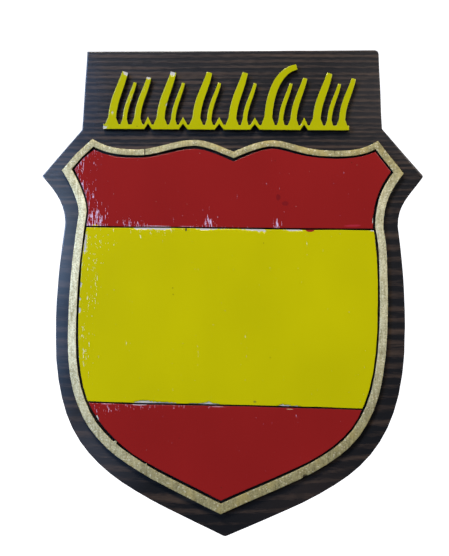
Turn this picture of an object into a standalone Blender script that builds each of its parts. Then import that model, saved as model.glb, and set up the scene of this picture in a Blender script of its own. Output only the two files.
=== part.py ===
"""Wooden heraldic shield plaque: a dark board with a gilt border, three painted panels and raised strokes.

Metres, +Z up. The plaque hangs in the XZ plane and faces -Y. Its back lies on the plane y = 0, and the
origin is the middle of the back, where it meets the wall. Left and right are the viewer's. The real
plaque was sawn by hand, so its left and right sides have sizes of their own.
"""

import math
from collections import namedtuple

import bmesh
import bpy
from mathutils import Vector

COLLECTION = "heraldic_shield_plaque"

# Layers, from the wall towards the viewer
BOARD_THICKNESS = 0.0100
PLATE_THICKNESS = 0.0030
GLUE_LINE = 0.0003
BOARD_CHAMFER = 0.0004

# One side of a shield outline. Points are (distance from the middle line, height). The pulls are
# the lengths of the curve's handles at each point, and the foot slope is measured from the level.
Side = namedtuple(
    "Side", "ear waist belly ear_pull waist_rise waist_drop belly_rise belly_drop foot_pull foot_slope"
)
EAR_RAKE = math.radians(-54.0)

# Board: a tab above, a shield with pointed ears below
TAB_TOP_LEFT = Vector((-0.0569, 0.0944))
TAB_TOP_RIGHT = Vector((0.0569, 0.0949))
TAB_NECK_LEFT = Vector((-0.0589, 0.0639))
TAB_NECK_RIGHT = Vector((0.0583, 0.0641))
TAB_CORNER_RADIUS = 0.0015
RIGHT_EAR_RADIUS = 0.0010
BOARD_FOOT = Vector((-0.0031, -0.0952))
BOARD_FOOT_RADIUS = 0.0020
BOARD_LEFT = Side(
    ear=(0.0745, 0.0457), waist=(0.0656, 0.0279), belly=(0.0693, -0.0174),
    ear_pull=0.0040, waist_rise=0.0089, waist_drop=0.0037, belly_rise=0.0243,
    belly_drop=0.0486, foot_pull=0.0486, foot_slope=math.radians(26.0),
)
BOARD_RIGHT = Side(
    ear=(0.0745, 0.0456), waist=(0.0645, 0.0262), belly=(0.0673, -0.0134),
    ear_pull=0.0105, waist_rise=0.0083, waist_drop=0.0010, belly_rise=0.0215,
    belly_drop=0.0552, foot_pull=0.0510, foot_slope=math.radians(23.2),
)

# Hanging hole in the back of the board, for a nail or a hook
HOLE_RADIUS = 0.0045
HOLE_DEPTH = 0.0060
HOLE_HEIGHT = 0.0780
HOLE_SIDES = 24

# Gilt border: its outer outline, and how wide the strip is at its top, sides and foot
BORDER_FOOT = Vector((-0.0048, -0.0858))
BORDER_LEFT = Side(
    ear=(0.0664, 0.0477), waist=(0.0599, 0.0311), belly=(0.0641, -0.0186),
    ear_pull=0.0020, waist_rise=0.0060, waist_drop=0.0010, belly_rise=0.0250,
    belly_drop=0.0404, foot_pull=0.0440, foot_slope=math.radians(26.8),
)
BORDER_RIGHT = Side(
    ear=(0.0662, 0.0465), waist=(0.0583, 0.0248), belly=(0.0601, -0.0045),
    ear_pull=0.0075, waist_rise=0.0110, waist_drop=0.0010, belly_rise=0.0262,
    belly_drop=0.0600, foot_pull=0.0520, foot_slope=math.radians(24.4),
)
BORDER_LEFT_SLOPE_BOW = 0.0006
BORDER_TOP_WIDTH = 0.00235
BORDER_SIDE_WIDTH = 0.0031
BORDER_FOOT_WIDTH = 0.0038

# The border's scalloped top, left half and right half. The trough stays low for its reach towards
# the crest, which stays high for its own.
Scallop = namedtuple("Scallop", "corner trough crest trough_reach crest_reach")
SCALLOP_LEFT = Scallop(
    corner=(-0.0545, 0.0599), trough=(-0.0370, 0.0558), crest=(-0.0152, 0.0595),
    trough_reach=0.0073, crest_reach=0.0073,
)
SCALLOP_RIGHT = Scallop(
    corner=(0.0562, 0.0591), trough=(0.0398, 0.0553), crest=(0.0155, 0.0594),
    trough_reach=0.0130, crest_reach=0.0060,
)
NOTCH = Vector((0.0002, 0.0549))
SCALLOP_CORNER_SLOPE = math.radians(32.0)
NOTCH_SLOPE = math.radians(22.0)
TROUGH_FULLNESS = 1.4

# Painted panels: they fill the border and are parted by two sawn lines, which run a little downhill
PANEL_CLEARANCE = 0.0008
SAW_CUT = 0.0006
PANEL_SPLITS = (
    (Vector((-0.0553, 0.0258)), Vector((0.0534, 0.0246))),
    (Vector((-0.0475, -0.0425)), Vector((0.0456, -0.0452))),
)
PANEL_NAMES = ("top_panel", "middle_panel", "bottom_panel")

# Raised strokes on the tab. They stand in groups on a thin rail, which hops up between the groups.
# In a group a heavy stroke comes first, then a light one and a middling one.
BAND_LEFT = -0.0504
BAND_RIGHT = 0.0485
BAND_FOOT = 0.0634
BAND_TILT = math.radians(-0.35)
RAIL_HEIGHT = 0.0019
RAIL_OVERHANG = 0.0007
HOP_RISE = 0.0022
HOP_THICKNESS = 0.0028
STROKE_GROUPS = (3, 2, 2, 2, 3, 3)
GROUP_SPACE = 0.0041
STROKE_HEIGHT = 0.0203
STROKE_LEAN = math.radians(14.0)
STROKE_WIDTHS = (0.0031, 0.0018, 0.0025)
STROKE_SHARES = (1.00, 0.80, 0.90)
FOOT_FLARE = 0.70
TIP_TAPER = 0.28
# A stroke leaves its foot upright and reaches its tip leaning. Its handles are these shares of its height.
FOOT_PULL = 0.45
TIP_PULL = 0.35
# The first stroke of the fifth group is taller and its tip sweeps over to the right
SWEPT_GROUP = 4
SWEPT_TIP = Vector((0.0246, 0.0246))
SWEPT_LEAN = math.radians(80.0)

# Number of straight pieces that make up each kind of curve
WAIST_STEPS = 8
BELLY_STEPS = 9
LOWER_SIDE_STEPS = 16
SCALLOP_STEPS = 6
STROKE_STEPS = 10
CORNER_STEPS = 3
SMOOTH_ANGLE = math.radians(30.0)
# Points nearer than this are one point, and directions with a smaller cross product count as parallel
WELD_DISTANCE = 1e-6
NEARLY_PARALLEL = 1e-4


def clear_scene():
    for thing in list(bpy.data.objects):
        bpy.data.objects.remove(thing, do_unlink=True)


def new_collection(name):
    collection = bpy.data.collections.new(name)
    bpy.context.scene.collection.children.link(collection)
    return collection


def material(name, colour, roughness, metallic=0.0):
    """A plain Principled material; colour is linear."""
    made = bpy.data.materials.new(name)
    made.use_nodes = True
    shader = made.node_tree.nodes["Principled BSDF"]
    shader.inputs["Base Color"].default_value = (*colour, 1.0)
    shader.inputs["Roughness"].default_value = roughness
    shader.inputs["Metallic"].default_value = metallic
    return made


def bezier(start, start_handle, end_handle, end, steps):
    """Points along a cubic curve, without its last one."""
    points = []
    for step in range(steps):
        t = step / steps
        back = 1.0 - t
        points.append(
            start * back**3 + start_handle * 3 * back**2 * t + end_handle * 3 * back * t**2 + end * t**3
        )
    return points


def shield_side(side, foot, sign):
    """One side of a shield from its ear down to its foot, which is left out; sign is -1 on the left."""
    ear, waist, belly = (Vector((sign * x, z)) for x, z in (side.ear, side.waist, side.belly))
    up = Vector((0.0, 1.0))
    rake = Vector((-sign * math.cos(EAR_RAKE), math.sin(EAR_RAKE)))
    to_belly = Vector((sign * math.cos(side.foot_slope), math.sin(side.foot_slope)))
    points = bezier(ear, ear + rake * side.ear_pull, waist + up * side.waist_rise, waist, WAIST_STEPS)
    points += bezier(waist, waist - up * side.waist_drop, belly + up * side.belly_rise, belly, BELLY_STEPS)
    last_handle = foot + to_belly * side.foot_pull
    points += bezier(belly, belly - up * side.belly_drop, last_handle, foot, LOWER_SIDE_STEPS)
    return points


def scallop(half, sign):
    """Half of the border's wavy top, from its outer corner to the notch, which is left out."""
    corner, trough, crest = (Vector(point) for point in (half.corner, half.trough, half.crest))
    inwards = -sign
    down = Vector((inwards * math.cos(SCALLOP_CORNER_SLOPE), -math.sin(SCALLOP_CORNER_SLOPE)))
    climb = Vector((-inwards * math.cos(NOTCH_SLOPE), math.sin(NOTCH_SLOPE)))
    level = Vector((inwards, 0.0))
    dip = abs(trough.x - corner.x) / 3
    fall = abs(NOTCH.x - crest.x) / 3
    before_trough = trough - level * dip * TROUGH_FULLNESS
    points = bezier(corner, corner + down * dip, before_trough, trough, SCALLOP_STEPS)
    before_crest = crest - level * half.crest_reach
    points += bezier(trough, trough + level * half.trough_reach, before_crest, crest, SCALLOP_STEPS)
    points += bezier(crest, crest + level * fall, NOTCH + climb * fall, NOTCH, SCALLOP_STEPS)
    return points


def rounded(points, corner, radius):
    """The outline with one of its corners turned into an arc of the given radius."""
    index = min(range(len(points)), key=lambda i: (points[i] - corner).length)
    before = (points[index - 1] - points[index]).normalized()
    after = (points[(index + 1) % len(points)] - points[index]).normalized()
    half_angle = before.angle(after) / 2
    centre = points[index] + (before + after).normalized() * radius / math.sin(half_angle)
    start = points[index] + before * radius / math.tan(half_angle) - centre
    turn = (math.pi - 2 * half_angle) * (1 if start.cross(after) > 0 else -1)
    arc = []
    for step in range(CORNER_STEPS + 1):
        angle = turn * step / CORNER_STEPS
        cosine, sine = math.cos(angle), math.sin(angle)
        arc.append(centre + Vector((start.x * cosine - start.y * sine, start.x * sine + start.y * cosine)))
    return points[:index] + arc + points[index + 1 :]


def board_outline():
    """Anticlockwise as the viewer sees it, from the foot up the right side and down the left."""
    right = shield_side(BOARD_RIGHT, BOARD_FOOT, 1)
    left = shield_side(BOARD_LEFT, BOARD_FOOT, -1)
    tab = [TAB_NECK_RIGHT, TAB_TOP_RIGHT, TAB_TOP_LEFT, TAB_NECK_LEFT]
    points = [BOARD_FOOT] + right[::-1] + tab + left
    points = rounded(points, TAB_TOP_RIGHT, TAB_CORNER_RADIUS)
    points = rounded(points, right[0], RIGHT_EAR_RADIUS)
    return rounded(points, BOARD_FOOT, BOARD_FOOT_RADIUS)


def border_outline():
    """The border's outer edge, in the same order as the board's."""
    right = shield_side(BORDER_RIGHT, BORDER_FOOT, 1)
    left = shield_side(BORDER_LEFT, BORDER_FOOT, -1)
    top = scallop(SCALLOP_RIGHT, 1) + [NOTCH] + scallop(SCALLOP_LEFT, -1)[::-1]
    slope = left[0] - top[-1]
    bowed = top[-1] + slope / 2 + Vector((slope.y, -slope.x)).normalized() * BORDER_LEFT_SLOPE_BOW
    return [BORDER_FOOT] + right[::-1] + top + [bowed] + left


def border_width(outward):
    """How wide the strip is where its outer edge faces the given way."""
    if outward.y > 0:
        return BORDER_SIDE_WIDTH + (BORDER_TOP_WIDTH - BORDER_SIDE_WIDTH) * outward.y
    return BORDER_SIDE_WIDTH + (BORDER_SIDE_WIDTH - BORDER_FOOT_WIDTH) * outward.y


def crossing(first, second):
    """Where two edges, each a place and a direction, meet when they are run on."""
    (place, way), (other_place, other_way) = first, second
    turn = way.cross(other_way)
    if abs(turn) < NEARLY_PARALLEL:
        return other_place
    return place + way * (other_place - place).cross(other_way) / turn


def inset(points, width_at):
    """An anticlockwise outline moved inwards with mitred corners; width_at takes the way an edge faces.

    An edge that would come out back to front, near a sharp corner, is dropped and its neighbours meet.
    """
    edges = []
    for start, end in zip(points, points[1:] + points[:1]):
        along = (end - start).normalized()
        outward = Vector((along.y, -along.x))
        edges.append((start - outward * width_at(outward), along))
    while True:
        inner = [crossing(before, edge) for before, edge in zip(edges[-1:] + edges[:-1], edges)]
        kept = []
        for edge, start, end in zip(edges, inner, inner[1:] + inner[:1]):
            if (end - start).dot(edge[1]) > 0:
                kept.append(edge)
        if len(kept) == len(edges):
            return inner
        edges = kept


def border_inner_outline():
    return inset(border_outline(), border_width)


def panels_outline():
    return inset(border_inner_outline(), lambda outward: PANEL_CLEARANCE)


def stroke_edges(foot, tip, lean, width):
    """Left and right edge of one stroke, from the rail upwards; lean is how far its tip turns over."""
    height = tip.y - foot.y
    foot_handle = foot + Vector((0.0, height * FOOT_PULL))
    tip_handle = tip - Vector((math.sin(lean), math.cos(lean))) * height * TIP_PULL
    middle = bezier(foot, foot_handle, tip_handle, tip, STROKE_STEPS)
    middle.append(tip)
    left, right = [], []
    for step, point in enumerate(middle):
        way = middle[min(step + 1, STROKE_STEPS)] - middle[max(step - 1, 0)]
        if step == 0:
            way = Vector((0.0, 1.0))
        share = step / STROKE_STEPS
        half = width / 2 * (1 + (FOOT_FLARE if step == 0 else 0.0)) * (1 - TIP_TAPER * share**3)
        across = Vector((-way.y, way.x)).normalized() * half
        left.append(point + across)
        right.append(point - across)
    return left, right


def band_outline():
    """The rail with all its strokes as one anticlockwise outline, level and with its foot at height 0."""
    flared = STROKE_WIDTHS[0] / 2 * (1 + FOOT_FLARE)
    first = BAND_LEFT + RAIL_OVERHANG + flared
    last = BAND_RIGHT - math.tan(STROKE_LEAN) * STROKE_HEIGHT - STROKE_WIDTHS[-1] / 2
    count = sum(STROKE_GROUPS)
    pitch = (last - first - GROUP_SPACE * (len(STROKE_GROUPS) - 1)) / (count - 1)
    foot_x = first
    top_edge, bottom_edge = [], []
    for group, size in enumerate(STROKE_GROUPS):
        for number in range(size):
            foot = Vector((foot_x, RAIL_HEIGHT))
            height = STROKE_HEIGHT * STROKE_SHARES[number]
            tip, lean = foot + Vector((math.tan(STROKE_LEAN) * height, height)), STROKE_LEAN
            if group == SWEPT_GROUP and number == 0:
                tip, lean = SWEPT_TIP, SWEPT_LEAN
            left, right = stroke_edges(foot, tip, lean, STROKE_WIDTHS[number])
            if number == 0:
                start = Vector((left[0].x - RAIL_OVERHANG, RAIL_HEIGHT))
                top_edge.append(start)
                bottom_edge.append(Vector((start.x, 0.0)))
            top_edge += left + right[::-1]
            foot_x += pitch
        foot_x += GROUP_SPACE
        end = Vector((right[0].x + RAIL_OVERHANG, RAIL_HEIGHT))
        top_edge.append(end)
        bottom_edge.append(Vector((end.x, 0.0)))
        if group < len(STROKE_GROUPS) - 1:
            next_start = foot_x - flared - RAIL_OVERHANG
            peak = Vector(((end.x + next_start) / 2, HOP_RISE))
            bottom_edge.append(peak)
            top_edge.append(peak + Vector((0.0, HOP_THICKNESS)))
    return bottom_edge + top_edge[::-1]


def plate(name, loops, back, thickness, finish, collection):
    """A flat plate with the given outlines, its back at the given distance in front of the wall."""
    curve = bpy.data.curves.new(name, "CURVE")
    curve.dimensions = "2D"
    curve.fill_mode = "BOTH"
    curve.extrude = thickness / 2
    for loop in loops:
        spline = curve.splines.new("POLY")
        spline.points.add(len(loop) - 1)
        for point, place in zip(spline.points, loop):
            point.co = (place.x, place.y, 0.0, 1.0)
        spline.use_cyclic_u = True
    outline = bpy.data.objects.new(name + "_outline", curve)
    outline.rotation_euler = (math.radians(90.0), 0.0, 0.0)
    outline.location = (0.0, -back - thickness / 2, 0.0)
    collection.objects.link(outline)
    bpy.context.view_layer.update()
    evaluated = outline.evaluated_get(bpy.context.evaluated_depsgraph_get())
    mesh = bpy.data.meshes.new_from_object(evaluated)
    weld(mesh)
    made = bpy.data.objects.new(name, mesh)
    made.matrix_world = outline.matrix_world.copy()
    collection.objects.link(made)
    bpy.data.objects.remove(outline, do_unlink=True)
    mesh.materials.clear()
    mesh.materials.append(finish)
    mesh.shade_smooth()
    mesh.set_sharp_from_angle(angle=SMOOTH_ANGLE)
    return made


def weld(mesh):
    shape = bmesh.new()
    shape.from_mesh(mesh)
    bmesh.ops.remove_doubles(shape, verts=shape.verts, dist=WELD_DISTANCE)
    bmesh.ops.recalc_face_normals(shape, faces=shape.faces)
    shape.to_mesh(mesh)
    shape.free()


def saw(piece, split, keep_above):
    """Cuts a plate along a sawn line and keeps the part above or below it, less half the saw cut."""
    start, end = split
    along = (end - start).normalized()
    away = Vector((-along.y, along.x)) * (1 if keep_above else -1)
    place = start + away * SAW_CUT / 2
    shape = bmesh.new()
    shape.from_mesh(piece.data)
    everything = list(shape.verts) + list(shape.edges) + list(shape.faces)
    bmesh.ops.bisect_plane(
        shape, geom=everything, plane_co=place.to_3d(), plane_no=away.to_3d(), clear_inner=True
    )
    rim = [edge for edge in shape.edges if edge.is_boundary]
    bmesh.ops.holes_fill(shape, edges=rim, sides=0)
    bmesh.ops.recalc_face_normals(shape, faces=shape.faces)
    shape.to_mesh(piece.data)
    shape.free()


def make_board(collection, cutters):
    finish = material("dark_stained_wood", (0.028, 0.024, 0.024), 0.38)
    board = plate("board", [board_outline()], 0.0, BOARD_THICKNESS, finish, collection)
    drill_length = HOLE_DEPTH * 2
    bpy.ops.mesh.primitive_cylinder_add(
        vertices=HOLE_SIDES, radius=HOLE_RADIUS, depth=drill_length,
        location=(0.0, drill_length / 2 - HOLE_DEPTH, HOLE_HEIGHT), rotation=(math.radians(90.0), 0.0, 0.0),
    )
    drill = bpy.context.active_object
    drill.name = "hanging_hole_drill"
    for owner in list(drill.users_collection):
        owner.objects.unlink(drill)
    cutters.objects.link(drill)
    drill.hide_render = True
    drill.display_type = "WIRE"
    chamfer = board.modifiers.new("sanded_edges", "BEVEL")
    chamfer.width = BOARD_CHAMFER
    chamfer.segments = 1
    chamfer.limit_method = "ANGLE"
    chamfer.angle_limit = SMOOTH_ANGLE
    hole = board.modifiers.new("hanging_hole", "BOOLEAN")
    hole.operation = "DIFFERENCE"
    hole.solver = "EXACT"
    hole.object = drill


def make_border(collection):
    finish = material("gold_flake", (0.58, 0.50, 0.28), 0.40, 0.7)
    back = BOARD_THICKNESS + GLUE_LINE
    loops = [border_outline(), border_inner_outline()]
    plate("gilt_border", loops, back, PLATE_THICKNESS, finish, collection)


def make_panels(collection):
    red = material("red_gloss_paint", (0.26, 0.012, 0.014), 0.25)
    yellow = material("yellow_gloss_paint", (0.48, 0.46, 0.006), 0.25)
    back = BOARD_THICKNESS + GLUE_LINE
    upper, lower = PANEL_SPLITS
    for name, finish in zip(PANEL_NAMES, (red, yellow, red)):
        panel = plate(name, [panels_outline()], back, PLATE_THICKNESS, finish, collection)
        if name == "top_panel":
            saw(panel, upper, keep_above=True)
        elif name == "middle_panel":
            saw(panel, upper, keep_above=False)
            saw(panel, lower, keep_above=True)
        else:
            saw(panel, lower, keep_above=False)


def make_stroke_band(collection):
    finish = material("yellow_gloss_strokes", (0.50, 0.48, 0.008), 0.25)
    cosine, sine = math.cos(BAND_TILT), math.sin(BAND_TILT)
    loop = []
    for x, height in band_outline():
        loop.append(Vector((x * cosine - height * sine, BAND_FOOT + x * sine + height * cosine)))
    back = BOARD_THICKNESS + GLUE_LINE
    plate("stroke_band", [loop], back, PLATE_THICKNESS, finish, collection)


def main():
    clear_scene()
    collection = new_collection(COLLECTION)
    cutters = new_collection("cutters")
    make_board(collection, cutters)
    make_border(collection)
    make_panels(collection)
    make_stroke_band(collection)


main()
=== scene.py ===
"""Looks of the wooden shield plaque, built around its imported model.

The file is laid out as an add-on and is run as a script. The sizes and colours that a user would change
sit in property groups, and each piece or group of like pieces has an operator. Metres, +Z up. The plaque
hangs in the XZ plane with its back on y = 0 and faces -Y, so left and right are the viewer's.
"""

import math
from collections import namedtuple

import bmesh
import bpy
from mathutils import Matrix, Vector, noise


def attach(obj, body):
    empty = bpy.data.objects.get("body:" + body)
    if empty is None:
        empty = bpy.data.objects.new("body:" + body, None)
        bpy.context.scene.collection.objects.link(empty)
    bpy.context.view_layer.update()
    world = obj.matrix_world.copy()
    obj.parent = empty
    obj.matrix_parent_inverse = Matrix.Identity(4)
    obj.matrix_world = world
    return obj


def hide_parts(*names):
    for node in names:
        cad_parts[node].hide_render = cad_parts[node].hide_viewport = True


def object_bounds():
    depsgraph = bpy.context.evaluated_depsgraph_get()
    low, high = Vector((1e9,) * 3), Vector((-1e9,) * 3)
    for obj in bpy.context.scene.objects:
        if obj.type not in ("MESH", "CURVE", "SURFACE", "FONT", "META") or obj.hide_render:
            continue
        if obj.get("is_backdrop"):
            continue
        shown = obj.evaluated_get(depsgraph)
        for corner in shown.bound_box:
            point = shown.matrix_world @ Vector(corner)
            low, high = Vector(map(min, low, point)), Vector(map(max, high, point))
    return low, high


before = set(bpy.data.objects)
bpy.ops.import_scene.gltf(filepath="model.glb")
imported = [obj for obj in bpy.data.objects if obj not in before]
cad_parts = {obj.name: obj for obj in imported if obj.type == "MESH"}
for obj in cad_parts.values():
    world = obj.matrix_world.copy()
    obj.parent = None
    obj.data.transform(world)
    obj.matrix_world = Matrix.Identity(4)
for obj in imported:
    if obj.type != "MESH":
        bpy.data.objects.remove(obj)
CAD_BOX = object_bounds()

bl_info = {
    "name": "Shield Plaque Looks",
    "version": (1, 0, 0),
    "blender": (4, 5, 0),
    "location": "3D View > Sidebar > Plaque",
    "description": "Dresses the packed plaque: stained board, gilt border, painted panels, raised strokes",
    "category": "Object",
}

BODY = "root"
MM = 0.001

X_AXIS = Vector((1.0, 0.0, 0.0))
Z_AXIS = Vector((0.0, 0.0, 1.0))

# The y of a face's unit normal tells where the face looks. It is below FLAT_FRONT on a flat front and above
# FLAT_BACK on a flat back.
FLAT_FRONT, FLAT_BACK = -0.99, 0.99
# Below these a face of a plate, or of the board with its bare sawn rim, has the front's finish, and above the
# last a face of the board has the back's
PLATE_FRONT, BOARD_FRONT, BOARD_BACK = -0.5, -0.95, 0.5

# Where the CAD meshes are cleaned up: points this close and faces this level are merged, and rim edges
# shorter than this are closed
SAME_POINT = 1e-6
SAME_PLANE = math.radians(0.4)
SHORT_EDGE = 0.0005
# An edge that bends by more than this stays sharp
SMOOTH_ANGLE = math.radians(40.0)

# Widths of the rings of narrow faces inside each rim, and from how many square metres a front gets them
BOARD_RINGS = (0.0004,)
PANEL_RINGS = (0.0003, 0.0005)
STROKE_RINGS = (0.0003,)
LARGE_FACE = 0.0001
# Segments of the rounded rims
BOARD_SEGMENTS, PLATE_SEGMENTS, STROKE_SEGMENTS = 2, 3, 2
# The board's faces are this many times as wide as a plate's, and the waves of its front as many times higher
BOARD_COARSENESS = 2

# Over what length a saw line and a front wave, and what a piece's seed grows by for its waves along z and y
SAW_WAVE = 0.011
FRONT_WAVE = 0.014
SEED_ALONG_Z = 7.3
SEED_ALONG_Y = 3.1

# A chip's outline is ragged by this share of its size, over this length
RAGGEDNESS = 0.45
RAGGED_SIZE = 0.0009
# Width of the faces that carry a chip or a flaw, and how far behind the front they reach
CHIP_STEP = 0.0004
FLAW_STEP = 0.0002
CHIP_REACH = 0.0012
# How steeply a chip gets deep and bare from its edge inwards, and how far a point that lies below the front
# already, as on a rounded rim, counts as sunk
DEPTH_GAIN = 2.0
BARE_GAIN = 1.8
SUNK_BEFORE = 0.5

# Seeds of the waves and ragged outlines; flaws and panels count on from theirs
BOARD_SEED = 1.0
BORDER_SEED, FLAW_SEED = 11.0, 15.0
PANEL_SEED, PANEL_SEED_STEP, PANEL_CHIP_SEED = 21.0, 10.0, 31.0
STROKE_SEED, STROKE_CHIP_SEED = 61.0, 71.0

# The attribute that the shaping leaves on a mesh's points for the materials: how bare they are, from 0 to 1
BARE = "bare"

# An oval on the front: its middle, its half sizes and its turn towards the right, in millimetres and degrees
Spot = namedtuple("Spot", "x z half_x half_z turn", defaults=(0.0,))


def linear(code):
    """The linear colour of an sRGB hex value."""
    values = [int(code[i : i + 2], 16) / 255 for i in (1, 3, 5)]
    return tuple(v / 12.92 if v <= 0.04045 else ((v + 0.055) / 1.055) ** 2.4 for v in values)


def colour_property(name, description, code):
    return bpy.props.FloatVectorProperty(
        name=name, description=description, default=linear(code), size=3, min=0.0, max=1.0, subtype="COLOR"
    )


def length_property(name, description, metres):
    return bpy.props.FloatProperty(
        name=name, description=description, default=metres, min=0.0, precision=5, unit="LENGTH"
    )


class PlaqueSizes(bpy.types.PropertyGroup):
    """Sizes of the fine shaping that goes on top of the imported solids."""

    board_round: length_property("Board edge", "Rounding of the board's sanded edges", 0.00015)
    plate_round: length_property("Plate edge", "Rounding that the paint leaves on a sawn edge", 0.00014)
    stroke_round: length_property("Stroke edge", "Rounding of the strokes' front edges", 0.00014)
    wobble: length_property("Saw wobble", "How far the fret saw strayed from its line", 0.00012)
    unevenness: length_property("Unevenness", "Height of the slow waves in a painted front", 0.00002)
    grid: length_property("Grid", "Width of the faces that carry a front's unevenness", 0.0016)
    chip_depth: length_property("Chip depth", "Depth of a place where paint and sheet broke away", 0.00035)


class PlaqueColours(bpy.types.PropertyGroup):
    """Main colours of the finishes."""

    stain: colour_property("Stain", "Near-black ground of the board", "#151516")
    grain: colour_property("Grain", "Brown streaks that show through the stain", "#4c3d31")
    gold: colour_property("Gold", "Flake film where it is lit", "#e9e5bd")
    old_gold: colour_property("Old gold", "Flake film in its darker streaks", "#8e8454")
    red: colour_property("Red", "Enamel of the outer panels", "#881b19")
    yellow: colour_property("Yellow", "Enamel of the middle panel", "#bab202")
    stroke_yellow: colour_property("Stroke yellow", "Enamel of the strokes", "#a9a703")
    ground_coat: colour_property("Ground coat", "White sheet that shows where enamel is chipped", "#b1afa4")
    sawn: colour_property("Sawn edge", "Blackened sides of the plates", "#15130f")


def sizes():
    """The sizes as the user has set them."""
    return bpy.context.scene.plaque_sizes


def colours():
    """The colours as the user has set them."""
    return bpy.context.scene.plaque_colours


# Shaping


def merged_copy(node):
    """A bmesh of a CAD node with its loose triangles merged into whole flat faces."""
    shape = bmesh.new()
    shape.from_mesh(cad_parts[node].data)
    bmesh.ops.remove_doubles(shape, verts=shape.verts, dist=SAME_POINT)
    bmesh.ops.dissolve_limit(shape, angle_limit=SAME_PLANE, verts=shape.verts, edges=shape.edges)
    bmesh.ops.dissolve_degenerate(shape, dist=SHORT_EDGE, edges=rim_edges(shape))
    shape.verts.layers.float.new(BARE)
    return shape


def rim_edges(shape):
    """Edges where a flat front face meets a face that turns away from the viewer."""
    found = []
    for edge in shape.edges:
        flat = [face.normal.y < FLAT_FRONT for face in edge.link_faces]
        if len(flat) == 2 and flat[0] != flat[1]:
            found.append(edge)
    return found


def round_rim(shape, width, segments):
    """Rounds the rim of the front."""
    bmesh.ops.bevel(
        shape, geom=rim_edges(shape), offset=width, offset_type="OFFSET", segments=segments, profile=0.5,
        affect="EDGES", clamp_overlap=True, material=-1,
    )


def inset_rings(shape, widths):
    """Narrow rings of faces just inside the rim, which keep the flat front flat up to its rounding."""
    inner = [face for face in shape.faces if face.normal.y < FLAT_FRONT and face.calc_area() > LARGE_FACE]
    for width in widths:
        bmesh.ops.inset_region(shape, faces=inner, thickness=width, use_even_offset=True)


def with_parts(shape, faces):
    """Faces with their edges and points, as bisect_plane wants them, always in the same order."""
    shape.verts.index_update()
    shape.edges.index_update()
    edges = {edge.index: edge for face in faces for edge in face.edges}
    verts = {vert.index: vert for face in faces for vert in face.verts}
    return [verts[i] for i in sorted(verts)] + [edges[i] for i in sorted(edges)] + faces


def cut_grid(shape, step):
    """Cuts the whole shape upright and level, so that its front and outline can carry slow waves."""
    for axis in (X_AXIS, Z_AXIS):
        reach = [vert.co.dot(axis) for vert in shape.verts]
        start, stop = min(reach), max(reach)
        for number in range(1, math.ceil((stop - start) / step)):
            place = axis * (start + number * step)
            geom = shape.verts[:] + shape.edges[:] + shape.faces[:]
            bmesh.ops.bisect_plane(shape, geom=geom, plane_co=place, plane_no=axis, dist=SAME_POINT)


def wave(place, size, seed):
    """Slow random value from -1 to 1 that swings over the given size."""
    return noise.noise(Vector((place.x / size, seed, place.z / size)))


def roughen(shape, seed, wobble, unevenness):
    """Lets the outline stray like a hand-sawn one and the front rise and fall a little."""
    for vert in shape.verts:
        place = vert.co.copy()
        vert.co.x += wobble * wave(place, SAW_WAVE, seed)
        vert.co.z += wobble * wave(place, SAW_WAVE, seed + SEED_ALONG_Z)
        if vert.normal.y < FLAT_FRONT:
            vert.co.y += unevenness * wave(place, FRONT_WAVE, seed + SEED_ALONG_Y)


def spot_axes(spot):
    """Middle of a spot and its two directions, along and across, in metres and without a height."""
    turn = math.radians(spot.turn)
    along = Vector((math.cos(turn), 0.0, -math.sin(turn)))
    across = Vector((math.sin(turn), 0.0, math.cos(turn)))
    return Vector((spot.x, 0.0, spot.z)) * MM, along, across


def refine(shape, spot, step):
    """Cuts the front and the sides round a spot finely enough to shape it."""
    centre, along, across = spot_axes(spot)
    half_x, half_z = spot.half_x * MM + step, spot.half_z * MM + step
    reach_x = abs(along.x) * half_x + abs(across.x) * half_z
    reach_z = abs(along.z) * half_x + abs(across.z) * half_z
    near_faces = []
    for face in shape.faces:
        xs = [vert.co.x for vert in face.verts]
        zs = [vert.co.z for vert in face.verts]
        beside = min(xs) > centre.x + reach_x or max(xs) < centre.x - reach_x
        beyond = min(zs) > centre.z + reach_z or max(zs) < centre.z - reach_z
        if not beside and not beyond and face.normal.y < FLAT_BACK:
            near_faces.append(face)
    geom = with_parts(shape, near_faces)
    for axis, half in ((along, half_x), (across, half_z)):
        count = math.ceil(half / step)
        for number in range(-count, count + 1):
            place = centre + axis * number * step
            cut = bmesh.ops.bisect_plane(shape, geom=geom, plane_co=place, plane_no=axis, dist=SAME_POINT)
            geom = cut["geom"]


def distance_in(spot, place):
    """How far a place is from the middle of a spot; the spot's edge is at 1."""
    centre, along, across = spot_axes(spot)
    apart = place - centre
    return math.hypot(apart.dot(along) / (spot.half_x * MM), apart.dot(across) / (spot.half_z * MM))


def nearness(place, spot, seed):
    """1 in the middle of a spot, 0 at its ragged edge and beyond."""
    distance = distance_in(spot, place) + RAGGEDNESS * wave(place, RAGGED_SIZE, seed)
    return max(0.0, 1.0 - distance * distance)


def nudge(shape, spot, shift):
    """Moves a stretch of the outline to where the saw really cut; shift is in millimetres."""
    for vert in shape.verts:
        vert.co += Vector(shift) * MM * max(0.0, 1.0 - distance_in(spot, vert.co) ** 2)


def chip(shape, spots, depth, seed):
    """Breaks the front away in ragged spots: points sink, and are marked bare for the material."""
    for spot in spots:
        refine(shape, spot, CHIP_STEP)
    bare = shape.verts.layers.float[BARE]
    front = min(vert.co.y for vert in shape.verts)
    for vert in shape.verts:
        sunk = vert.co.y - front
        if sunk < CHIP_REACH:
            strongest = max(nearness(vert.co, spot, seed) for spot in spots)
            vert[bare] = max(vert[bare], min(1.0, strongest * BARE_GAIN))
            vert.co.y += max(0.0, depth * min(1.0, strongest * DEPTH_GAIN) - sunk * SUNK_BEFORE)


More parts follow.
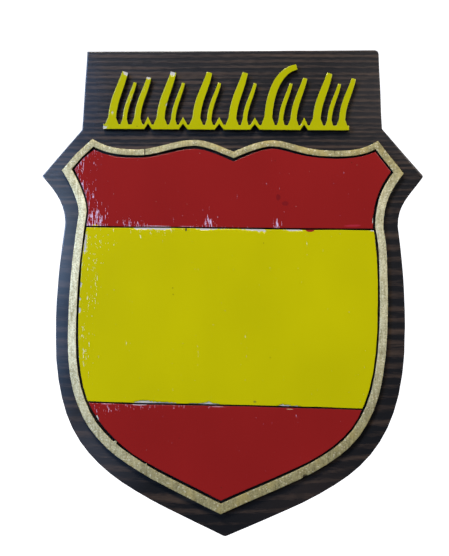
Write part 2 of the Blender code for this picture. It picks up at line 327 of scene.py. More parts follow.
def push(shape, spot, shift, mark, seed):
    """Pushes the front at a spot by shift, most in its middle, and marks it bare as strongly as mark says."""
    refine(shape, spot, FLAW_STEP)
    bare = shape.verts.layers.float[BARE]
    front = min(vert.co.y for vert in shape.verts)
    for vert in shape.verts:
        if vert.co.y - front < CHIP_REACH:
            strength = min(1.0, nearness(vert.co, spot, seed) * DEPTH_GAIN)
            vert.co += Vector(shift) * MM * strength
            vert[bare] = max(vert[bare], mark * strength)


def make_piece(name, shape, node, materials, choose):
    """Makes the finished piece that stands for a CAD node; choose gives the material number of a face."""
    shape.normal_update()
    for face in shape.faces:
        face.material_index = choose(face)
    mesh = bpy.data.meshes.new(name)
    shape.to_mesh(mesh)
    shape.free()
    for material in materials:
        mesh.materials.append(material)
    mesh.shade_smooth()
    mesh.set_sharp_from_angle(angle=SMOOTH_ANGLE)
    piece = bpy.data.objects.new(name, mesh)
    bpy.context.scene.collection.objects.link(piece)
    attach(piece, BODY)
    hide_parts(node)


# Finishes


def add(tree, kind, inputs=None, out=0, **settings):
    """Adds a node with its settings, feeds its inputs with values or sockets, and returns an output."""
    made = tree.nodes.new("ShaderNode" + kind)
    for name, value in settings.items():
        setattr(made, name, value)
    for key, value in (inputs or {}).items():
        if isinstance(value, bpy.types.NodeSocket):
            tree.links.new(value, made.inputs[key])
        else:
            made.inputs[key].default_value = value
    return made.outputs[out]


# Sockets of a colour Mix node
SHARE, FIRST, SECOND, MIXED = 0, 6, 7, 2


def new_finish(name):
    """A new material, its node tree and its object coordinates."""
    made = bpy.data.materials.new(name)
    made.use_nodes = True
    tree = made.node_tree
    return made, tree, add(tree, "TexCoord", out="Object")


def coat(tree, colour, roughness, height, depth, metallic=0.0):
    """Feeds the shader: colour and roughness, and the height pattern as a bump of the given depth."""
    shader = tree.nodes["Principled BSDF"]
    normal = add(tree, "Bump", {"Height": height, "Distance": depth})
    tree.links.new(colour, shader.inputs["Base Color"])
    tree.links.new(roughness, shader.inputs["Roughness"])
    tree.links.new(normal, shader.inputs["Normal"])
    shader.inputs["Metallic"].default_value = metallic


def patches(tree, where, size, detail=2.0, shift=0.0):
    """Cloudy pattern from 0 to 1 whose patches measure size along X, Y and Z, in metres."""
    scale = tuple(1 / part for part in size)
    place = add(tree, "Mapping", {"Vector": where, "Location": (shift, shift, shift), "Scale": scale})
    return add(tree, "TexNoise", {"Vector": place, "Scale": 1.0, "Detail": detail})


def spot_field(tree, where, spots):
    """The strongest of several soft spots, each 1 in its middle and 0 at its edge."""
    field = None
    for spot in spots:
        inputs = {
            "Vector": where,
            "Location": (spot.x * MM, 0.0, spot.z * MM),
            "Rotation": (0.0, math.radians(spot.turn), 0.0),
            "Scale": (spot.half_x * MM, 1.0, spot.half_z * MM),
        }
        local = add(tree, "Mapping", inputs, vector_type="TEXTURE")
        one = add(tree, "TexGradient", {"Vector": local}, out="Fac", gradient_type="SPHERICAL")
        field = one if field is None else add(tree, "Math", {0: field, 1: one}, operation="MAXIMUM")
    return field


def weighted_sum(tree, *terms):
    """Adds up patterns, each times its weight."""
    total = 0.0
    for pattern, weight in terms:
        total = add(tree, "Math", {0: pattern, 1: weight, 2: total}, operation="MULTIPLY_ADD")
    return total


def opaque(colour):
    """A linear colour or an sRGB hex value with full alpha; a socket stays as it is."""
    if isinstance(colour, bpy.types.NodeSocket):
        return colour
    return (*(linear(colour) if isinstance(colour, str) else colour), 1.0)


def layered(tree, ground, *layers, way="MIX"):
    """Lays colours over a ground, one after the other, each as strongly as its share says."""
    for share, colour in layers:
        inputs = {SHARE: share, FIRST: opaque(ground), SECOND: opaque(colour)}
        ground = add(tree, "Mix", inputs, out=MIXED, data_type="RGBA", blend_type=way)
    return ground


# The board's growth lines lie 2.1 mm apart down to the height of the ears, and below it a millimetre holds
# 0.45 times as many
LINES_APART = 0.0021
EARS_HEIGHT = 0.035
LINES_BELOW = 0.45
# A wave texture's sine bands lie this far apart at a scale of 1
BAND_PERIOD = 0.314

# Patches of painted sheen, which is reflected light on the lacquer painted into the colour: the place, the
# tint that is added and how strong that is. The painted sheen is bluish at the left ear and down the left
# flank, greyer at the right of the tab and browner right of the foot.
PAINTED_SHEEN_PATCHES = (
    (Spot(-72.0, 28.0, 24.0, 36.0), "#66737f", 0.60),
    (Spot(-76.0, -10.0, 20.0, 54.0), "#5a7086", 0.58),
    (Spot(-56.0, -60.0, 28.0, 28.0), "#66696f", 0.28),
    (Spot(-76.0, 76.0, 28.0, 34.0), "#506a8c", 0.30),
    (Spot(62.0, 76.0, 30.0, 30.0), "#77706a", 0.10),
    (Spot(28.0, -76.0, 34.0, 22.0), "#6b5648", 0.09),
)
# How much of a painted sheen patch is left where the wood's broad bands are darkest
PAINTED_SHEEN_LEFT = 0.6


def stained_wood():
    """Softwood board, stained near black and lacquered satin.

    To the eye it is a black ground with thin brown streaks that come and go, level on the tab and sagging
    at the foot, and a soft sheen, part of which is painted into the colour as bluish, grey and brown patches.
    """
    made, tree, where = new_finish("stained_wood")
    place = add(tree, "SeparateXYZ", {"Vector": where}, out="Z")
    across = add(tree, "SeparateXYZ", {"Vector": where}, out="X")
    # Towards the foot the growth lines sag, so that they slope by 0.1 at 40 mm from the middle
    sag = add(tree, "MapRange", {"Value": place, "From Min": -0.02, "From Max": -0.08, "To Max": -1.2})
    square = add(tree, "Math", {0: across, 1: across}, operation="MULTIPLY")
    fallen = add(tree, "Math", {0: sag, 1: square, 2: place}, operation="MULTIPLY_ADD")
    above = add(tree, "Math", {0: fallen, 1: EARS_HEIGHT}, operation="MAXIMUM")
    below = add(tree, "Math", {0: fallen, 1: EARS_HEIGHT}, operation="MINIMUM")
    ring = add(tree, "Math", {0: below, 1: LINES_BELOW, 2: above}, operation="MULTIPLY_ADD")
    bent = add(tree, "CombineXYZ", {"X": across, "Z": ring})
    # The bends of the lines are drawn out 20 times along the board
    drawn_out = add(tree, "Mapping", {"Vector": bent, "Scale": (0.05, 1.0, 1.0)})
    bands = {"Vector": drawn_out, "Scale": BAND_PERIOD / LINES_APART}
    bands.update({"Distortion": 6.0, "Detail": 3.0, "Detail Scale": 0.7})
    lines = add(tree, "TexWave", bands, out="Fac", wave_type="BANDS", bands_direction="Z")
    streak = patches(tree, bent, (0.055, 1.0, 0.0020), detail=3.0)
    broad = patches(tree, bent, (0.060, 1.0, 0.0110), shift=5.0)
    fibre = patches(tree, where, (0.0040, 0.0005, 0.00055), detail=4.0, shift=9.0)
    tone = weighted_sum(tree, (lines, 0.26), (streak, 1.0), (broad, 0.2), (fibre, 0.5), (sag, 0.05))
    share = add(tree, "MapRange", {"Value": tone, "From Min": 0.93, "From Max": 1.40})
    colour = layered(tree, colours().stain, (share, colours().grain))
    # Adds the painted sheen, patch by patch, over the wood's own colour
    for spot, tint, strength in PAINTED_SHEEN_PATCHES:
        limits = {"From Min": 0.2, "From Max": 0.8, "To Min": strength * PAINTED_SHEEN_LEFT, "To Max": strength}
        sheen_strength = add(tree, "MapRange", {"Value": broad, **limits})
        painted_sheen = add(tree, "Math", {0: spot_field(tree, where, [spot]), 1: sheen_strength}, operation="MULTIPLY")
        colour = layered(tree, colour, (painted_sheen, tint), way="ADD")
    roughness = add(tree, "MapRange", {"Value": fibre, "To Min": 0.20, "To Max": 0.30})
    height = weighted_sum(tree, (lines, 0.4), (fibre, 1.0))
    coat(tree, colour, roughness, height, depth=0.00003)
    return made


def sawn_wood():
    """Sides of the board: the same stain on sawn end grain, dull, with saw lines across the thickness."""
    made, tree, where = new_finish("sawn_stained_wood")
    saw_lines = patches(tree, where, (0.0007, 0.030, 0.0007))
    cloud = patches(tree, where, (0.012, 0.004, 0.004), detail=3.0, shift=2.0)
    tone = add(tree, "Math", {0: saw_lines, 1: cloud}, operation="MULTIPLY")
    share = add(tree, "MapRange", {"Value": tone, "From Min": 0.18, "From Max": 0.42, "To Max": 0.55})
    colour = layered(tree, colours().stain, (share, colours().grain))
    roughness = add(tree, "MapRange", {"Value": saw_lines, "To Min": 0.55, "To Max": 0.75})
    coat(tree, colour, roughness, saw_lines, depth=0.00008)
    return made


def bare_back():
    """Back of the board: one thin coat of stain on planed wood, matt and browner than the front."""
    made, tree, where = new_finish("thinly_stained_back")
    grain = patches(tree, where, (0.045, 0.004, 0.0022), detail=4.0, shift=4.0)
    fibre = patches(tree, where, (0.0070, 0.0006, 0.0004), shift=6.0)
    tone = weighted_sum(tree, (grain, 0.7), (fibre, 1.0))
    share = add(tree, "MapRange", {"Value": tone, "From Min": 0.60, "From Max": 1.05})
    colour = layered(tree, "#2c2522", (share, "#6d5544"))
    roughness = add(tree, "MapRange", {"Value": fibre, "To Min": 0.62, "To Max": 0.80})
    coat(tree, colour, roughness, tone, depth=0.00006)
    return made


# Real flakes measure about 0.2 mm. They are drawn coarser, because finer ones don't show.
FLAKE_SIZE = 0.00045


def gold_flake():
    """Foil-backed film of pale gold flakes.

    To the eye it is made of small flat glints in fine upright streaks; the brightest flakes have that glint
    painted in as a pale colour. It is palest down the left side and browner over the top, round the foot and
    on the right, with yellower clouds there; that browning is painted shade, with some real tarnish at the
    foot. It is dark brown where it is split or knocked off.
    """
    made, tree, where = new_finish("gold_flake_film")
    cells = add(tree, "TexVoronoi", {"Vector": where, "Scale": 1 / FLAKE_SIZE}, out="Color")
    flake = add(tree, "SeparateColor", {"Color": cells})
    streak = patches(tree, where, (0.0007, 0.004, 0.0045))
    cloud = patches(tree, where, (0.0050, 0.005, 0.0070), shift=3.0)
    tone = weighted_sum(tree, (flake, 0.42), (streak, 1.0), (cloud, 0.4))
    share = add(tree, "MapRange", {"Value": tone, "From Min": 0.40, "From Max": 1.18})
    pale = layered(tree, colours().old_gold, (share, colours().gold))
    golden = add(tree, "MapRange", {"Value": cloud, "From Min": 0.48, "From Max": 0.66, "To Max": 0.45})
    brown = layered(tree, "#5f542c", (share, "#aaa06c"), (golden, "#a38c3e"))
    # Painted shade with some tarnish: the film turns browner over the top, round the foot and on the right,
    # away from the light at the left
    across = add(tree, "SeparateXYZ", {"Vector": where}, out="X")
    height = add(tree, "SeparateXYZ", {"Vector": where}, out="Z")
    foot = add(tree, "MapRange", {"Value": height, "From Min": -0.022, "From Max": -0.070, "To Max": 0.8})
    top = add(tree, "MapRange", {"Value": height, "From Min": 0.036, "From Max": 0.052, "To Max": 0.74})
    right = add(tree, "MapRange", {"Value": across, "From Min": -0.05, "From Max": 0.05, "To Max": 0.44})
    browner = add(tree, "Math", {0: foot, 1: top}, operation="ADD")
    browner = add(tree, "Math", {0: browner, 1: right}, operation="ADD", use_clamp=True)
    # Painted glint: the brightest flakes are painted pale, as if they caught the light
    painted_glint = add(tree, "MapRange", {"Value": flake, "From Min": 0.92, "From Max": 0.96, "To Max": 0.4})
    bare = add(tree, "Attribute", out="Fac", attribute_name=BARE)
    colour = layered(tree, pale, (browner, brown), (painted_glint, "#e6e0c0"), (bare, "#3b2b18"))
    roughness = add(tree, "MapRange", {"Value": flake, "To Min": 0.62, "To Max": 0.45})
    relief = weighted_sum(tree, (streak, 0.6), (flake, 1.0))
    coat(tree, colour, roughness, relief, depth=0.00003, metallic=0.35)
    return made


# How far behind the front the paint that ran over a plate's edge starts to thin and ends, how ragged its end
# is, and how much of the black it covers
RUN_THINS, RUN_ENDS = 0.0005, 0.0010
RUN_RAGGED = 0.0012
RUN_COVERS = 0.6


def sawn_sheet(name, paint):
    """Sides of a painted plate: sawn sheet, blackened, with paint that ran a little over the front edge."""
    made, tree, where = new_finish(name)
    saw_lines = patches(tree, where, (0.0006, 0.030, 0.0006))
    depth = add(tree, "SeparateXYZ", {"Vector": where}, out="Y")
    ragged = weighted_sum(tree, (saw_lines, RUN_RAGGED), (depth, 1.0))
    front = CAD_BOX[0][1]
    limits = {"From Min": front + RUN_THINS, "From Max": front + RUN_ENDS, "To Min": RUN_COVERS}
    run = add(tree, "MapRange", {"Value": ragged, "To Max": 0.0, **limits})
    colour = layered(tree, colours().sawn, (run, paint))
    roughness = add(tree, "MapRange", {"Value": saw_lines, "To Min": 0.65, "To Max": 0.85})
    coat(tree, colour, roughness, saw_lines, depth=0.00006)
    return made


# Specks of dirt lie about this far apart
SPECKS_APART = 0.011
# A fleck shows where the score of its place passes a limit. The limit is highest away from the clusters, and
# where a cluster's field reaches CLUSTER_CORE it has fallen with the panel's density.
FLECK_LIMIT_OUTSIDE = 1.27
FLECK_LIMIT_INSIDE = 1.24
FLECK_LIMIT_FALLS = 0.26
CLUSTER_CORE = 0.76
# Linear colour of the paint where it is brushed out darkest, against its full colour
THIN_PAINT = 0.92
# Brushed enamel shines less than the shader's own default
ENAMEL_SPECULAR = 0.25


def stained(tree, where, colour, stains):
    """Lays ragged drops of other paint or dirt over a colour."""
    edge = patches(tree, where, (0.0008, 0.001, 0.0008), shift=8.0)
    for spot, stain in stains:
        drop = spot_field(tree, where, [spot])
        inside = add(tree, "MapRange", {"Value": drop, "From Max": 0.1})
        ragged = weighted_sum(tree, (edge, 0.6), (drop, 1.0))
        ragged = add(tree, "MapRange", {"Value": ragged, "From Min": 0.52, "From Max": 0.60})
        ragged = add(tree, "Math", {0: ragged, 1: inside}, operation="MULTIPLY")
        colour = layered(tree, colour, (ragged, stain))
    return colour


def fleck_pattern(tree, where, density, clusters):
    """Short upright dashes that line up in columns and are densest inside the clusters: rough bumps, whose
    glint of light the enamel paints in as a pale colour.
    """
    column = patches(tree, where, (0.0012, 0.1, 0.0300), detail=1.0, shift=30.0)
    dash = patches(tree, where, (0.00024, 0.001, 0.0026), detail=1.0, shift=12.0)
    grain = patches(tree, where, (0.00028, 0.001, 0.0005), detail=1.0, shift=16.0)
    score = weighted_sum(tree, (column, 0.45), (dash, 1.0), (grain, 0.35))
    inside = FLECK_LIMIT_INSIDE - FLECK_LIMIT_FALLS * density
    limits = {"From Max": CLUSTER_CORE, "To Min": FLECK_LIMIT_OUTSIDE, "To Max": inside}
    needed = add(tree, "MapRange", {"Value": spot_field(tree, where, clusters), **limits})
    over = add(tree, "Math", {0: score, 1: needed}, operation="SUBTRACT")
    return add(tree, "MapRange", {"Value": over, "From Max": 0.06, "To Max": 0.9})


def enamel(name, paint, fleck_glint_colour, density, clusters, stains=()):
    """Gloss enamel brushed on a white-coated sheet.

    To the eye it is even and shiny, with pale flecks in upright dashes where it was scuffed rough; their pale
    colour is a painted glint of light on those rough bumps. It is white where it is chipped, and has fine
    dark specks of dirt.
    """
    made, tree, where = new_finish(name)
    cloud = patches(tree, where, (0.030, 0.030, 0.040), shift=1.0)
    shade = add(tree, "MapRange", {"Value": cloud, "From Min": 0.3, "From Max": 0.7})
    speck = add(tree, "TexVoronoi", {"Vector": where, "Scale": 1 / SPECKS_APART}, out="Distance")
    dirt = add(tree, "MapRange", {"Value": speck, "From Min": 0.030, "From Max": 0.015, "To Max": 0.5})
    thinner = tuple(part * THIN_PAINT for part in paint)
    colour = layered(tree, thinner, (shade, paint), (dirt, "#2a1d10"))
    colour = stained(tree, where, colour, stains)
    fleck = fleck_pattern(tree, where, density, clusters)
    torn = patches(tree, where, (0.0012, 0.001, 0.0009), shift=20.0)
    bare = add(tree, "Attribute", out="Fac", attribute_name=BARE)
    bare = weighted_sum(tree, (torn, 1.8), (bare, 1.0))
    bare = add(tree, "MapRange", {"Value": bare, "From Min": 1.40, "From Max": 1.52})
    # The flecks' pale colour is a painted glint of light on their rough bumps; where the paint is chipped the
    # white ground coat shows
    colour = layered(tree, colour, (fleck, fleck_glint_colour), (bare, colours().ground_coat))
    worn = add(tree, "Math", {0: fleck, 1: bare}, operation="MAXIMUM")
    roughness = add(tree, "MapRange", {"Value": worn, "To Min": 0.16, "To Max": 0.60})
    brushed = patches(tree, where, (0.0014, 0.004, 0.0200), shift=15.0)
    height = weighted_sum(tree, (worn, 0.6), (brushed, 1.0))
    coat(tree, colour, roughness, height, depth=0.00003)
    tree.nodes["Principled BSDF"].inputs["Specular IOR Level"].default_value = ENAMEL_SPECULAR
    return made


# Pieces


def by_side(face):
    """Material number on a plate: the front's finish first, then the sawn sides and the back."""
    return 0 if face.normal.y < PLATE_FRONT else 1


def by_face(face):
    """Material number on the board: its front first, then its sides with the rounded rim, then its back."""
    if face.normal.y < BOARD_FRONT:
        return 0
    return 2 if face.normal.y > BOARD_BACK else 1


class MakeBoard(bpy.types.Operator):
    """Shape and finish the stained board with its hanging hole"""

    bl_idname = "plaque.make_board"
    bl_label = "Stained board"

    def execute(self, context):
        shape = merged_copy("board")
        round_rim(shape, sizes().board_round, BOARD_SEGMENTS)
        inset_rings(shape, BOARD_RINGS)
        cut_grid(shape, sizes().grid * BOARD_COARSENESS)
        roughen(shape, BOARD_SEED, sizes().wobble, sizes().unevenness * BOARD_COARSENESS)
        finishes = [stained_wood(), sawn_wood(), bare_back()]
        make_piece("stained_board", shape, "board", finishes, by_face)
        return {"FINISHED"}


# Flaws of the border: where, how far its front is pushed there in millimetres, and how bare it is
Flaw = namedtuple("Flaw", "spot shift bare")
BORDER_FLAWS = (
    Flaw(Spot(-34.2, 54.4, 0.18, 2.6), (0.0, 0.35, 0.0), 0.8),
    Flaw(Spot(-34.3, 56.5, 0.7, 0.5), (0.0, 0.6, -0.2), 1.0),
    Flaw(Spot(-33.7, 52.4, 0.4, 0.5), (0.1, 0.0, -0.5), 0.0),
    Flaw(Spot(27.9, -71.0, 0.9, 0.6, -27.0), (-0.1, 0.35, 0.15), 0.8),
    Flaw(Spot(-45.6, -57.9, 0.8, 0.6, 40.0), (0.5, 0.0, 0.6), 0.0),
    Flaw(Spot(-33.8, -66.2, 0.5, 0.4, 35.0), (0.3, 0.0, 0.4), 0.0),
)


class MakeGiltBorder(bpy.types.Operator):
    """Shape and finish the gilt border with its crack, nick and burrs"""

    bl_idname = "plaque.make_gilt_border"
    bl_label = "Gilt border"

    def execute(self, context):
        shape = merged_copy("gilt_border")
        round_rim(shape, sizes().plate_round, PLATE_SEGMENTS)
        cut_grid(shape, sizes().grid)
        roughen(shape, BORDER_SEED, sizes().wobble, sizes().unevenness)
        for number, flaw in enumerate(BORDER_FLAWS):
            push(shape, flaw.spot, flaw.shift, flaw.bare, FLAW_SEED + number)
        finishes = [gold_flake(), sawn_sheet("sawn_border_side", linear("#6e5f33"))]
        make_piece("gold_flake_border", shape, "gilt_border", finishes, by_side)
        return {"FINISHED"}


# The painted panels: name, CAD node, slot, paint, colour and density of its flecks (the colour being a
# painted glint of light on rough bumps), where its outline strays and by how many millimetres, where it is
# chipped, where its flecks are dense, and drops of other paint, rubs and dirt on it
Panel = namedtuple("Panel", "name node slot paint fleck density nudges chips clusters stains")
PANELS = (
    Panel(
        "upper_red_panel", "top_panel", "red_paint", "red", fleck="#cdb2cb", density=1.25,
        nudges=(
            (Spot(-12.0, 58.0, 50.0, 14.0), (0.0, 0.0, -0.30)),
            (Spot(-62.0, 34.0, 12.0, 14.0), (-0.20, 0.0, 0.0)),
            (Spot(58.0, 34.0, 12.0, 14.0), (-0.20, 0.0, 0.0)),
            (Spot(0.0, 24.0, 90.0, 5.0), (0.0, 0.0, -0.12)),
        ),
        chips=(
            Spot(-60.2, 43.6, 0.3, 2.2, -22.0), Spot(-58.2, 38.6, 0.3, 2.4, -20.0),
            Spot(55.2, 34.0, 0.18, 2.6, 12.0), Spot(54.3, 28.6, 0.18, 1.6, 5.0),
        ),
        clusters=(
            Spot(-59.5, 41.0, 2.4, 9.0, -22.0), Spot(-67.0, 55.0, 22.0, 22.0), Spot(-59.0, 38.0, 8.5, 14.0),
            Spot(-53.5, 27.0, 10.0, 12.0), Spot(-9.5, 25.6, 4.5, 8.0), Spot(-38.0, 23.0, 18.0, 8.0),
            Spot(-20.0, 25.0, 50.0, 1.6), Spot(17.0, 25.6, 2.5, 5.5),
        ),
        stains=(
            (Spot(-53.6, 26.3, 1.6, 0.5), "#c9a60d"), (Spot(46.5, 26.2, 4.6, 0.5, -2.0), "#9c2531"),
            (Spot(-29.5, 26.05, 6.5, 0.26, 1.0), "#b07c82"), (Spot(-18.0, 25.9, 3.5, 0.24, 1.0), "#a0505a"),
            (Spot(17.6, 37.2, 1.1, 1.6), "#731618"), (Spot(20.2, 34.8, 1.7, 1.2), "#761719"),
        ),
    ),
    Panel(
        "yellow_panel", "middle_panel", "yellow_paint", "yellow", fleck="#e6e6c8", density=0.57,
        nudges=(
            (Spot(-62.0, 16.0, 12.0, 10.0), (-0.20, 0.0, 0.0)),
            (Spot(-62.0, -30.0, 12.0, 24.0), (0.22, 0.0, 0.0)),
            (Spot(0.0, 26.0, 90.0, 5.0), (0.0, 0.0, 0.08)),
            (Spot(22.0, -44.5, 60.0, 5.0), (0.0, 0.0, 0.36)),
        ),
        chips=(
            Spot(-33.5, 25.3, 6.5, 0.55), Spot(-28.0, 25.2, 4.8, 0.75), Spot(-9.4, 25.1, 6.6, 0.65),
            Spot(8.6, 24.9, 7.2, 0.75), Spot(10.8, 24.9, 2.8, 1.3), Spot(23.4, 24.6, 4.4, 0.5),
            Spot(-34.4, -42.3, 4.6, 0.75), Spot(-29.5, -42.6, 8.0, 0.45), Spot(-9.7, -43.0, 1.8, 1.0),
            Spot(-11.0, -43.1, 7.4, 0.50), Spot(19.6, -44.0, 3.4, 0.95), Spot(22.6, -44.2, 4.6, 0.6),
            Spot(-57.3, 19.2, 0.5, 4.8, 6.0), Spot(-59.3, 3.4, 0.8, 1.0), Spot(-59.7, -2.0, 0.6, 0.8),
            Spot(-59.7, -6.5, 0.6, 1.3), Spot(53.8, 24.5, 0.9, 0.6), Spot(55.5, 19.5, 0.3, 3.5, -4.0),
        ),
        clusters=(
            Spot(-54.5, 8.0, 6.0, 34.0), Spot(-53.0, 19.0, 11.0, 14.0), Spot(-30.0, 25.0, 26.0, 5.0),
            Spot(-59.5, -24.0, 7.0, 24.0),
        ),
        stains=(
            (Spot(29.8, 24.4, 2.2, 0.8), "#8f1a1c"), (Spot(-18.2, 24.7, 0.5, 0.9), "#45441a"),
            (Spot(8.4, -42.1, 0.8, 0.6), "#8a861a"),
        ),
    ),
    Panel(
        "lower_red_panel", "bottom_panel", "red_paint", "red", fleck="#c79bb0", density=0.74,
        nudges=(
            (Spot(-54.0, -54.0, 18.0, 14.0), (0.32, 0.0, 0.20)),
            (Spot(-20.0, -78.0, 30.0, 14.0), (0.0, 0.0, 0.30)),
            (Spot(15.0, -78.0, 22.0, 14.0), (0.0, 0.0, 0.20)),
            (Spot(22.0, -45.0, 60.0, 5.0), (0.0, 0.0, 0.36)),
        ),
        chips=(Spot(-52.6, -48.3, 0.5, 1.1, -24.0), Spot(-18.5, -74.2, 0.6, 0.4, 27.0)),
        clusters=(
            Spot(-51.0, -45.0, 11.0, 4.6), Spot(-38.0, -43.6, 16.0, 3.0), Spot(-14.0, -43.2, 26.0, 3.4),
        ),
        stains=(
            (Spot(-36.4, -43.2, 3.8, 0.35, 1.0), "#b9a5a8"), (Spot(-49.5, -42.9, 2.6, 0.35, 1.0), "#a8606c"),
            (Spot(-6.0, -44.0, 3.0, 0.26, 1.0), "#a8737a"), (Spot(22.0, -45.0, 1.8, 0.26, 1.0), "#ad8a60"),
        ),
    ),
)
# Linear colour of the paint that ran down a panel's sides, against that on its front
RUN_SHADE = 0.4


class MakePaintedPanels(bpy.types.Operator):
    """Shape and finish the red and yellow panels with their chips and flecks"""

    bl_idname = "plaque.make_painted_panels"
    bl_label = "Painted panels"

    def execute(self, context):
        for number, panel in enumerate(PANELS):
            shape = merged_copy(panel.node)
            round_rim(shape, sizes().plate_round, PLATE_SEGMENTS)
            inset_rings(shape, PANEL_RINGS)
            cut_grid(shape, sizes().grid)
            for spot, shift in panel.nudges:
                nudge(shape, spot, shift)
            roughen(shape, PANEL_SEED + PANEL_SEED_STEP * number, sizes().wobble, sizes().unevenness)
            chip(shape, panel.chips, sizes().chip_depth, PANEL_CHIP_SEED + number)
            paint = tuple(getattr(colours(), panel.paint))
            front = enamel(
                panel.name + "_enamel", paint, panel.fleck, panel.density, panel.clusters, panel.stains
            )
            side = sawn_sheet(panel.name + "_side", tuple(part * RUN_SHADE for part in paint))
            make_piece(panel.name, shape, panel.node, [front, side], by_side)
        return {"FINISHED"}


# Where the strokes are chipped and flecked, and how densely; the flecks' pale colour is a painted glint of
# light
STROKE_CHIPS = (
    Spot(-41.5, 85.6, 1.3, 1.3, 14.0), Spot(-32.9, 83.7, 1.0, 0.9, 14.0), Spot(-23.6, 85.5, 1.4, 1.2, 14.0),
    Spot(-50.3, 64.4, 1.2, 1.0), Spot(-46.9, 70.0, 0.35, 0.6), Spot(-25.6, 73.5, 1.6, 0.3, -60.0),
)
STROKE_FLECKS = (Spot(-40.0, 74.0, 8.0, 12.0), Spot(-26.0, 73.0, 5.0, 5.0))
STROKE_FLECK_DENSITY = 0.4


class MakeStrokes(bpy.types.Operator):
    """Shape and finish the row of raised strokes"""

    bl_idname = "plaque.make_strokes"
    bl_label = "Raised strokes"

    def execute(self, context):
        shape = merged_copy("stroke_band")
        round_rim(shape, sizes().stroke_round, STROKE_SEGMENTS)
        inset_rings(shape, STROKE_RINGS)
        roughen(shape, STROKE_SEED, sizes().wobble, sizes().unevenness)
        chip(shape, STROKE_CHIPS, sizes().chip_depth, STROKE_CHIP_SEED)
        paint = tuple(colours().stroke_yellow)
        finishes = [
            # The pale fleck colour is a painted glint of light on rough bumps
            enamel("stroke_enamel", paint, "#e9e8cf", STROKE_FLECK_DENSITY, STROKE_FLECKS),
            sawn_sheet("sawn_stroke_side", linear("#2a330a")),
        ]
        make_piece("yellow_strokes", shape, "stroke_band", finishes, by_side)
        return {"FINISHED"}


# Stage

# The camera looks level along +Y. The film size, in millimetres like the focal length, spans the picture's
# longer side.
CAMERA_PLACE = Vector((-0.0033, -0.4530, 0.0059))
CAMERA_TURN = (math.radians(90.0), 0.0, 0.0)
FOCAL_LENGTH = 73.4
FILM_SIZE = 36.0
NEAREST_SEEN = 0.01

# Area lights: place, size across and up, power in watts and colour. All of them face the plaque.
Lamp = namedtuple("Lamp", "name place across up power colour")
LAMPS = (
    Lamp("key_from_above", (-0.18, -0.86, 0.72), 0.30, 0.24, 11.4, "#fff1e4"),
    Lamp("window_at_the_left", (-0.54, -0.94, 0.24), 0.30, 0.50, 8.8, "#98c2ff"),
    Lamp("soft_from_the_right", (0.60, -0.90, 0.44), 0.50, 0.40, 3.0, "#fff6ee"),
    Lamp("fill_at_the_right", (1.20, 0.35, 0.20), 1.0, 1.0, 16.0, "#f4f6ff"),
    Lamp("fill_at_the_left", (-1.20, 0.35, 0.20), 1.0, 1.0, 16.0, "#f4f6ff"),
    Lamp("fill_behind", (0.70, 1.10, 0.70), 1.0, 1.0, 24.0, "#f4f6ff"),
)
DOME_COLOUR = "#eef2ff"
DOME_STRENGTH = 0.05

# The floor is a disc that curves up into a round wall. It glows, so that it stays pale wherever it is seen.
FLOOR_HEIGHT = -0.80
FLOOR_COLOUR = "#f2f2f2"
FLOOR_GLOW = 0.95
COVE_RADIUS = 2.20
COVE_TOP = 3.00
COVE_CURVE = 0.70
CURVE_STEPS = 9
TURN_STEPS = 64


def make_floor(scene):
    """The pale floor and its wall, turned from half a cross-section."""
    bend = COVE_RADIUS - COVE_CURVE
    profile = [(0.0, 0.0), (bend, 0.0)]
    for step in range(1, CURVE_STEPS + 1):
        angle = math.radians(90.0 * step / CURVE_STEPS)
        profile.append((bend + COVE_CURVE * math.sin(angle), COVE_CURVE * (1 - math.cos(angle))))
    profile.append((COVE_RADIUS, COVE_TOP - FLOOR_HEIGHT))
    shape = bmesh.new()
    points = [shape.verts.new((x, 0.0, FLOOR_HEIGHT + height)) for x, height in profile]
    edges = [shape.edges.new(pair) for pair in zip(points, points[1:])]
    bmesh.ops.spin(
        shape, geom=points + edges, axis=Z_AXIS, cent=(0.0, 0.0, 0.0), angle=math.tau, steps=TURN_STEPS,
        use_merge=True,
    )
    bmesh.ops.remove_doubles(shape, verts=shape.verts, dist=SAME_POINT)
    bmesh.ops.recalc_face_normals(shape, faces=shape.faces)
    bmesh.ops.reverse_faces(shape, faces=shape.faces)
    mesh = bpy.data.meshes.new("pale_floor")
    shape.to_mesh(mesh)
    shape.free()
    mesh.shade_smooth()
    paint = bpy.data.materials.new("pale_floor_paint")
    paint.use_nodes = True
    shader = paint.node_tree.nodes["Principled BSDF"]
    shader.inputs["Base Color"].default_value = opaque(FLOOR_COLOUR)
    shader.inputs["Emission Color"].default_value = (1.0, 1.0, 1.0, 1.0)
    shader.inputs["Emission Strength"].default_value = FLOOR_GLOW
    mesh.materials.append(paint)
    floor = bpy.data.objects.new("pale_floor", mesh)
    scene.collection.objects.link(floor)
    floor.visible_diffuse = False
    floor.visible_glossy = False
    floor.visible_shadow = False
    floor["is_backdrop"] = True


def make_lights(scene):
    """The faint dome of light and the lamps."""
    world = bpy.data.worlds.new("soft_dome")
    world.use_nodes = True
    background = world.node_tree.nodes["Background"]
    background.inputs["Color"].default_value = opaque(DOME_COLOUR)
    background.inputs["Strength"].default_value = DOME_STRENGTH
    scene.world = world
    for lamp in LAMPS:
        light = bpy.data.lights.new(lamp.name, "AREA")
        light.shape = "RECTANGLE"
        light.size, light.size_y = lamp.across, lamp.up
        light.energy = lamp.power
        light.color = linear(lamp.colour)
        holder = bpy.data.objects.new(lamp.name, light)
        holder.location = lamp.place
        holder.rotation_euler = (-Vector(lamp.place)).to_track_quat("-Z", "Y").to_euler()
        scene.collection.objects.link(holder)


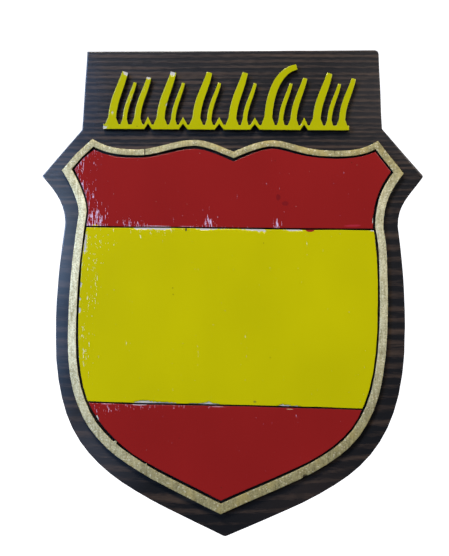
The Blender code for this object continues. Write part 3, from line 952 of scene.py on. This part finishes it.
def make_camera(scene):
    """The camera at the photograph's viewing angle."""
    camera = bpy.data.cameras.new("photo_camera")
    camera.lens = FOCAL_LENGTH
    camera.sensor_width = FILM_SIZE
    camera.sensor_fit = "AUTO"
    camera.clip_start = NEAREST_SEEN
    holder = bpy.data.objects.new("photo_camera", camera)
    holder.location = CAMERA_PLACE
    holder.rotation_euler = CAMERA_TURN
    scene.collection.objects.link(holder)
    scene.camera = holder


class SetUpStudio(bpy.types.Operator):
    """Set up the pale floor and its curved wall, the soft lights and the camera"""

    bl_idname = "plaque.set_up_studio"
    bl_label = "Studio"

    def execute(self, context):
        make_floor(context.scene)
        make_lights(context.scene)
        make_camera(context.scene)
        context.scene.view_settings.view_transform = "Standard"
        return {"FINISHED"}


OPERATORS = (MakeBoard, MakeGiltBorder, MakePaintedPanels, MakeStrokes, SetUpStudio)


class PlaquePanel(bpy.types.Panel):
    """Lists the plaque's sizes, colours and operators"""

    bl_idname = "VIEW3D_PT_plaque"
    bl_label = "Shield Plaque"
    bl_space_type = "VIEW_3D"
    bl_region_type = "UI"
    bl_category = "Plaque"

    def draw(self, context):
        for group in (context.scene.plaque_sizes, context.scene.plaque_colours):
            column = self.layout.column()
            for name in group.bl_rna.properties.keys():
                if name not in ("rna_type", "name"):
                    column.prop(group, name)
        column = self.layout.column()
        for operator in OPERATORS:
            column.operator(operator.bl_idname)


CLASSES = (PlaqueSizes, PlaqueColours, *OPERATORS, PlaquePanel)


def register():
    for made in CLASSES:
        bpy.utils.register_class(made)
    bpy.types.Scene.plaque_sizes = bpy.props.PointerProperty(type=PlaqueSizes)
    bpy.types.Scene.plaque_colours = bpy.props.PointerProperty(type=PlaqueColours)


def unregister():
    del bpy.types.Scene.plaque_colours
    del bpy.types.Scene.plaque_sizes
    for made in reversed(CLASSES):
        bpy.utils.unregister_class(made)


def main():
    register()
    bpy.ops.plaque.make_board()
    bpy.ops.plaque.make_gilt_border()
    bpy.ops.plaque.make_painted_panels()
    bpy.ops.plaque.make_strokes()
    bpy.ops.plaque.set_up_studio()
    boxes = {"cad": CAD_BOX, "visual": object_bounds()}
    boxes = {name: [list(corner) for corner in box] for name, box in boxes.items()}


if __name__ == "__main__":
    main()
